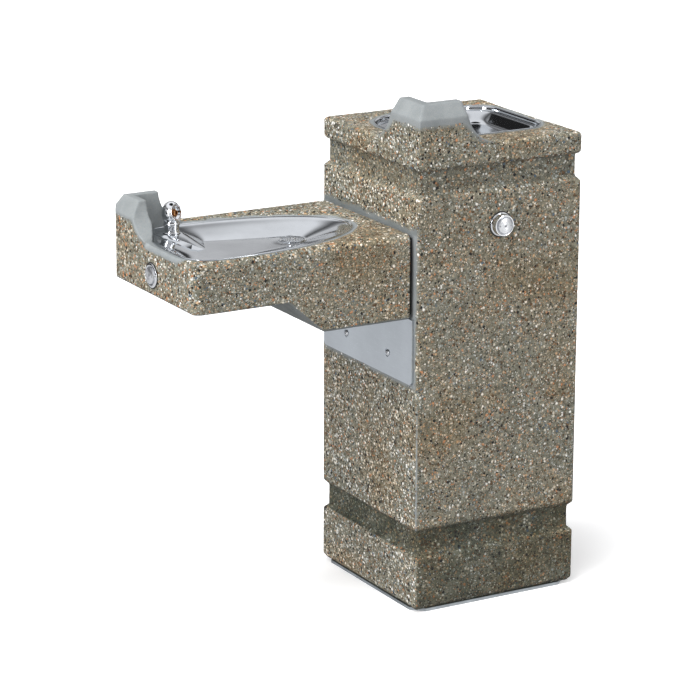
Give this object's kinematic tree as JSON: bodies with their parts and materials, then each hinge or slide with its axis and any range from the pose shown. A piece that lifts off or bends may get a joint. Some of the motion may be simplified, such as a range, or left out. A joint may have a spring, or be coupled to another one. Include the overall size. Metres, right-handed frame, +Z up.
{
  "type": "drinking fountain",
  "caption": "Square precast concrete drinking fountain: a high basin on the pedestal, a low basin on a side arm, each with a bubbler, splash cowl and push button.",
  "frame": {"origin": "centre of the pedestal's footprint on the floor, which is the centre of its four floor anchor holes", "axes": "+Z up; the low arm reaches along -X; the high push button is on the -Y face"},
  "size_m": [0.8749, 0.3994, 1.045],
  "materials": {
    "concrete_pedestal": "exposed aggregate",
    "concrete_arm": "exposed aggregate with smooth cast borders",
    "galvanised_steel": "dull zinc",
    "black_rubber": "matte",
    "satin_stainless": "satin",
    "screw_steel": "bright",
    "bowl_stainless": "polished satin",
    "chrome": "mirror",
    "bronze": "dull",
    "brass": "machined",
    "copper": "drawn tube",
    "waste_pipe": "dull plated",
    "blue_handle": "dipped vinyl"
  },
  "bodies": {
    "fountain": {"base_plate": "galvanised_steel", "base_studs": "galvanised_steel", "pedestal": "concrete_pedestal", "arm": "concrete_arm", "arm_gasket": "black_rubber", "arm_studs": "galvanised_steel", "arm_washers": "galvanised_steel", "arm_nuts": "galvanised_steel", "access_plate": "satin_stainless", "plate_inserts": "brass", "plate_screws": "screw_steel", "arm_bottom_plate": "satin_stainless", "arm_bottom_screws": "screw_steel", "low_bowl": "bowl_stainless", "low_bubbler": "chrome", "low_bubbler_nozzle": "bronze", "low_bubbler_washer": "black_rubber", "low_bubbler_nut": "brass", "low_strainer": "bowl_stainless", "low_strainer_screw": "screw_steel", "low_drain_body": "chrome", "low_drain_washer": "black_rubber", "low_drain_nut": "brass", "low_waste_arm": "waste_pipe", "low_valve_sleeve": "chrome", "low_valve_body": "brass", "low_button_spring": "galvanised_steel", "low_valve_locknut": "brass", "low_bubbler_tube": "copper", "low_supply_tube": "copper", "high_bowl": "bowl_stainless", "high_bubbler": "chrome", "high_bubbler_nozzle": "bronze", "high_bubbler_washer": "black_rubber", "high_bubbler_nut": "brass", "high_strainer": "bowl_stainless", "high_strainer_screw": "screw_steel", "high_drain_body": "chrome", "high_drain_washer": "black_rubber", "high_drain_nut": "brass", "high_tailpiece": "waste_pipe", "high_valve_sleeve": "chrome", "high_valve_body": "brass", "high_button_spring": "galvanised_steel", "high_valve_locknut": "brass", "high_bubbler_tube": "copper", "high_supply_tube": "copper", "waste_tee": "waste_pipe", "slip_nuts": "waste_pipe", "trap_inlet": "waste_pipe", "trap_bend": "waste_pipe", "waste_outlet": "waste_pipe", "inlet_riser": "galvanised_steel", "stop_valve_body": "brass", "inline_strainer": "brass", "supply_tee": "brass"},
    "low_button": {"low_push_button": "chrome"},
    "high_button": {"high_push_button": "chrome"},
    "stop_lever": {"stop_handle": "blue_handle"}
  },
  "joints": [
    {"name": "low_button_press", "type": "slide", "parent": "fountain", "child": "low_button", "axis": [1, 0, 0], "range_m": [0, 0.004], "stiffness_N_per_m": 1500, "deforming": ["low_button_spring"]},
    {"name": "high_button_press", "type": "slide", "parent": "fountain", "child": "high_button", "axis": [0, 1, 0], "range_m": [0, 0.004], "stiffness_N_per_m": 1500, "deforming": ["high_button_spring"]},
    {"name": "stop_handle_turn", "type": "hinge", "parent": "fountain", "child": "stop_lever", "pos_m": [-0.074, 0.05, 0.57], "axis": [1, 0, 0], "range_deg": [0, 90]}
  ]
}
